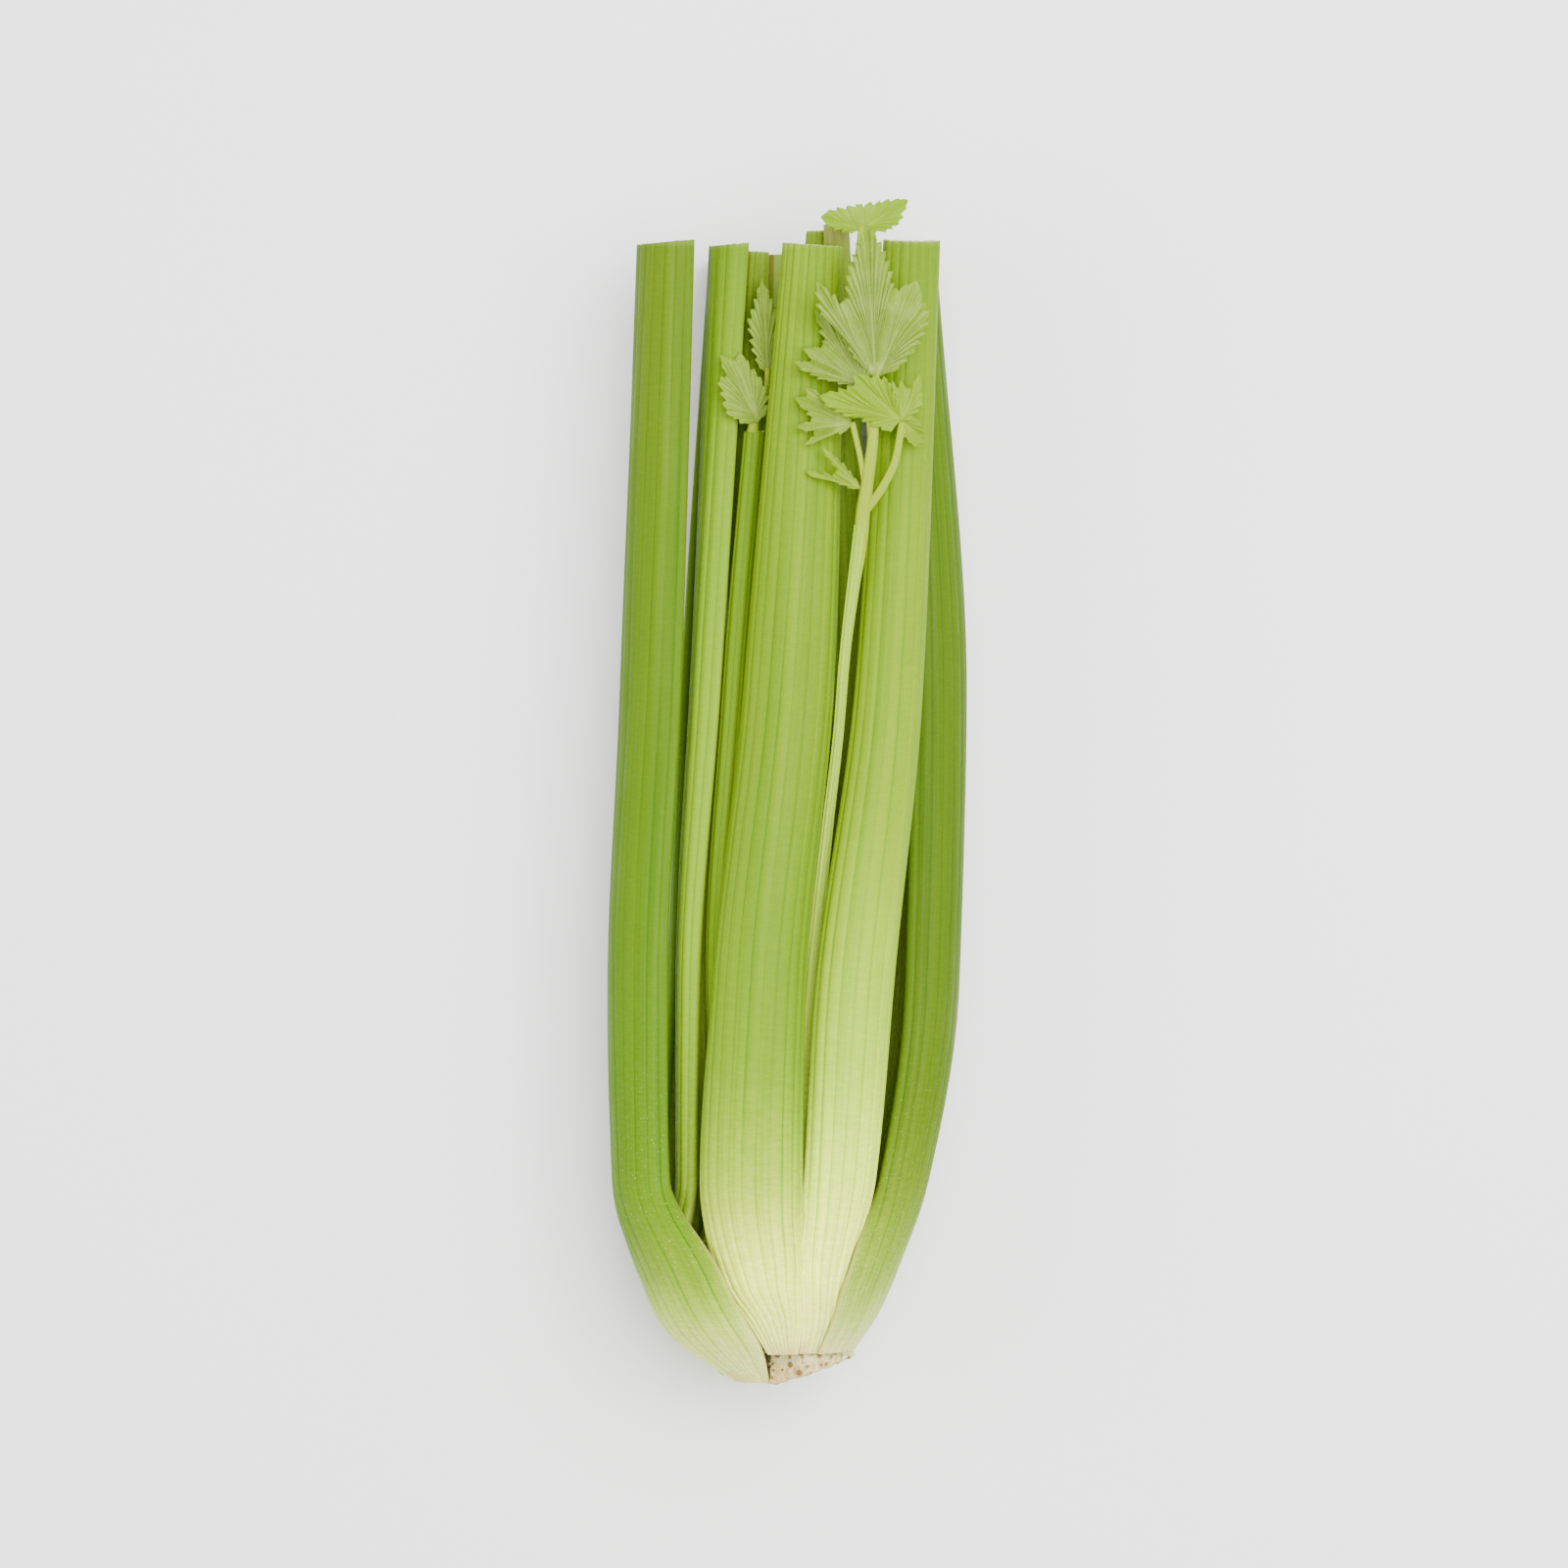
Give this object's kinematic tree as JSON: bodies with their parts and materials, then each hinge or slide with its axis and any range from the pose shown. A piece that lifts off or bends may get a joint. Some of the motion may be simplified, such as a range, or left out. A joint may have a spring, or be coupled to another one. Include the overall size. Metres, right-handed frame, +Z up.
{
  "type": "head of celery",
  "caption": "A trimmed head of celery lying on its back: ribbed stalks round a cut butt, cut level at the top, with a small leafy heart.",
  "frame": {"origin": "on the surface that the head lies on, under the middle of its bounding box", "axes": "+Y from the butt to the cut tops, +Z up from the surface, +X to the right as seen from above with the butt nearest"},
  "size_m": [0.099, 0.3256, 0.0765],
  "materials": {
    "butt_surface": "dry, rough cut root plate, tan with brown specks",
    "stalk_left_surface": "smooth, moist, ribbed skin, green at the top and pale to cream at the base",
    "stalk_right_surface": "smooth, moist, ribbed skin, green at the top and pale to cream at the base",
    "stalk_back_left_surface": "smooth, moist, ribbed skin, green at the top and pale to cream at the base",
    "stalk_back_right_surface": "smooth, moist, ribbed skin, green at the top and pale to cream at the base",
    "stalk_front_surface": "smooth, moist, ribbed skin, green at the top and pale to cream at the base",
    "stalk_back_surface": "smooth, moist, ribbed skin, green at the top and pale to cream at the base",
    "stalk_side_left_surface": "smooth, moist, ribbed skin, green at the top and pale to cream at the base",
    "stalk_front_right_surface": "smooth, moist, ribbed skin, green at the top and pale to cream at the base",
    "inner_front_surface": "smooth, moist, pale green",
    "inner_left_surface": "smooth, moist, pale green",
    "inner_back_surface": "smooth, moist, pale green",
    "inner_right_surface": "smooth, moist, pale green",
    "heart_left_surface": "smooth, moist, pale yellow-green to cream",
    "heart_leafy_surface": "smooth, moist, pale yellow-green to cream",
    "leaves_front_surface": "soft satin leaf, fresh yellow-green with pale veins",
    "leaves_left_surface": "soft satin leaf, fresh yellow-green with pale veins"
  },
  "bodies": {
    "root": {"butt": "butt_surface", "stalk_left": "stalk_left_surface", "stalk_right": "stalk_right_surface", "stalk_back_left": "stalk_back_left_surface", "stalk_back_right": "stalk_back_right_surface", "stalk_front": "stalk_front_surface", "stalk_back": "stalk_back_surface", "stalk_side_left": "stalk_side_left_surface", "stalk_front_right": "stalk_front_right_surface", "inner_front": "inner_front_surface", "inner_left": "inner_left_surface", "inner_back": "inner_back_surface", "inner_right": "inner_right_surface", "heart_left": "heart_left_surface", "heart_leafy": "heart_leafy_surface", "leaves_front": "leaves_front_surface", "leaves_left": "leaves_left_surface"}
  },
  "joints": []
}
